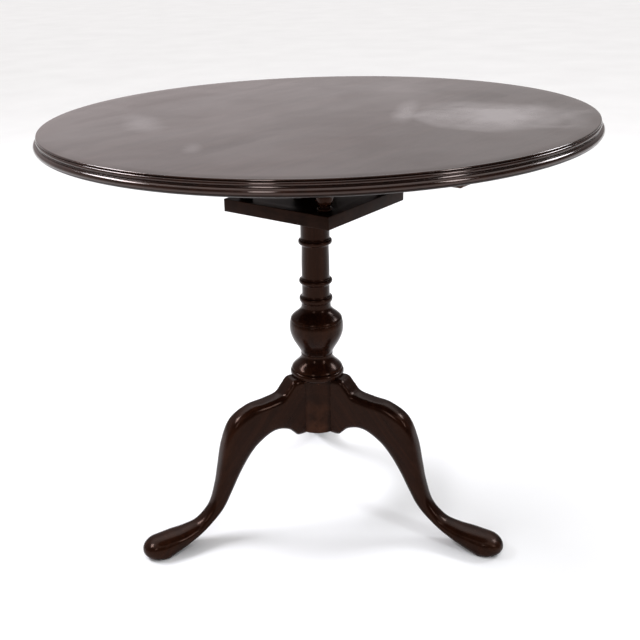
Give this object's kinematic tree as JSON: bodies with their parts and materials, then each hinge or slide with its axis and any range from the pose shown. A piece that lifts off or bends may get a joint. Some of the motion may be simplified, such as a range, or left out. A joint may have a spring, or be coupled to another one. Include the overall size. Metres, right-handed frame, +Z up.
{
  "type": "tilt top table",
  "caption": "Round tilt-top table: moulded top on a birdcage that turns on a turned column with three cabriole legs and slipper feet.",
  "frame": {"origin": "on the floor, on the column's axis", "axes": "+Z up, +X along the battens towards the pivot pins, +Y along the pivot pins"},
  "size_m": [0.884, 0.884, 0.724],
  "materials": {
    "polished_mahogany": "french polished, dark red-brown",
    "unpolished_mahogany": "planed and stained, dull",
    "brass": "aged, tarnished in the corners",
    "iron": "dark forged"
  },
  "bodies": {
    "pedestal": {"column": "polished_mahogany", "leg_1": "polished_mahogany", "leg_2": "polished_mahogany", "leg_3": "polished_mahogany", "spider_plate": "iron", "spider_screw_1": "iron", "spider_screw_2": "iron", "spider_screw_3": "iron", "spider_screw_4": "iron", "cage_collar": "polished_mahogany"},
    "wedge": {"cage_wedge": "polished_mahogany"},
    "birdcage": {"lower_block": "polished_mahogany", "upper_block": "unpolished_mahogany", "pillar_1": "polished_mahogany", "pillar_2": "polished_mahogany", "pillar_3": "polished_mahogany", "pillar_4": "polished_mahogany", "keeper_plate": "brass", "keeper_screw_1": "brass", "keeper_screw_2": "brass"},
    "top": {"table_top": "polished_mahogany", "batten_1": "unpolished_mahogany", "batten_2": "unpolished_mahogany", "batten_screw_1": "iron", "batten_screw_2": "iron", "batten_screw_3": "iron", "batten_screw_4": "iron", "batten_screw_5": "iron", "batten_screw_6": "iron", "batten_screw_7": "iron", "batten_screw_8": "iron", "catch_plate": "brass", "catch_screw_1": "brass", "catch_screw_2": "brass", "catch_screw_3": "brass", "catch_screw_4": "brass"},
    "bolt": {"catch_bolt": "brass"}
  },
  "joints": [
    {"name": "cage_spin", "type": "hinge", "parent": "pedestal", "child": "birdcage", "pos_m": [0, 0, 0.5848], "axis": [0, 0, 1], "continuous": true},
    {"name": "top_tilt", "type": "hinge", "parent": "birdcage", "child": "top", "pos_m": [0.096, 0, 0.688], "axis": [0, 1, 0], "range_deg": [0, 90]},
    {"name": "bolt_slide", "type": "slide", "parent": "top", "child": "bolt", "axis": [1, 0, 0], "range_m": [0, 0.008]},
    {"name": "wedge_draw", "type": "slide", "parent": "pedestal", "child": "wedge", "axis": [0, -1, 0], "range_m": [0, 0.016]}
  ]
}
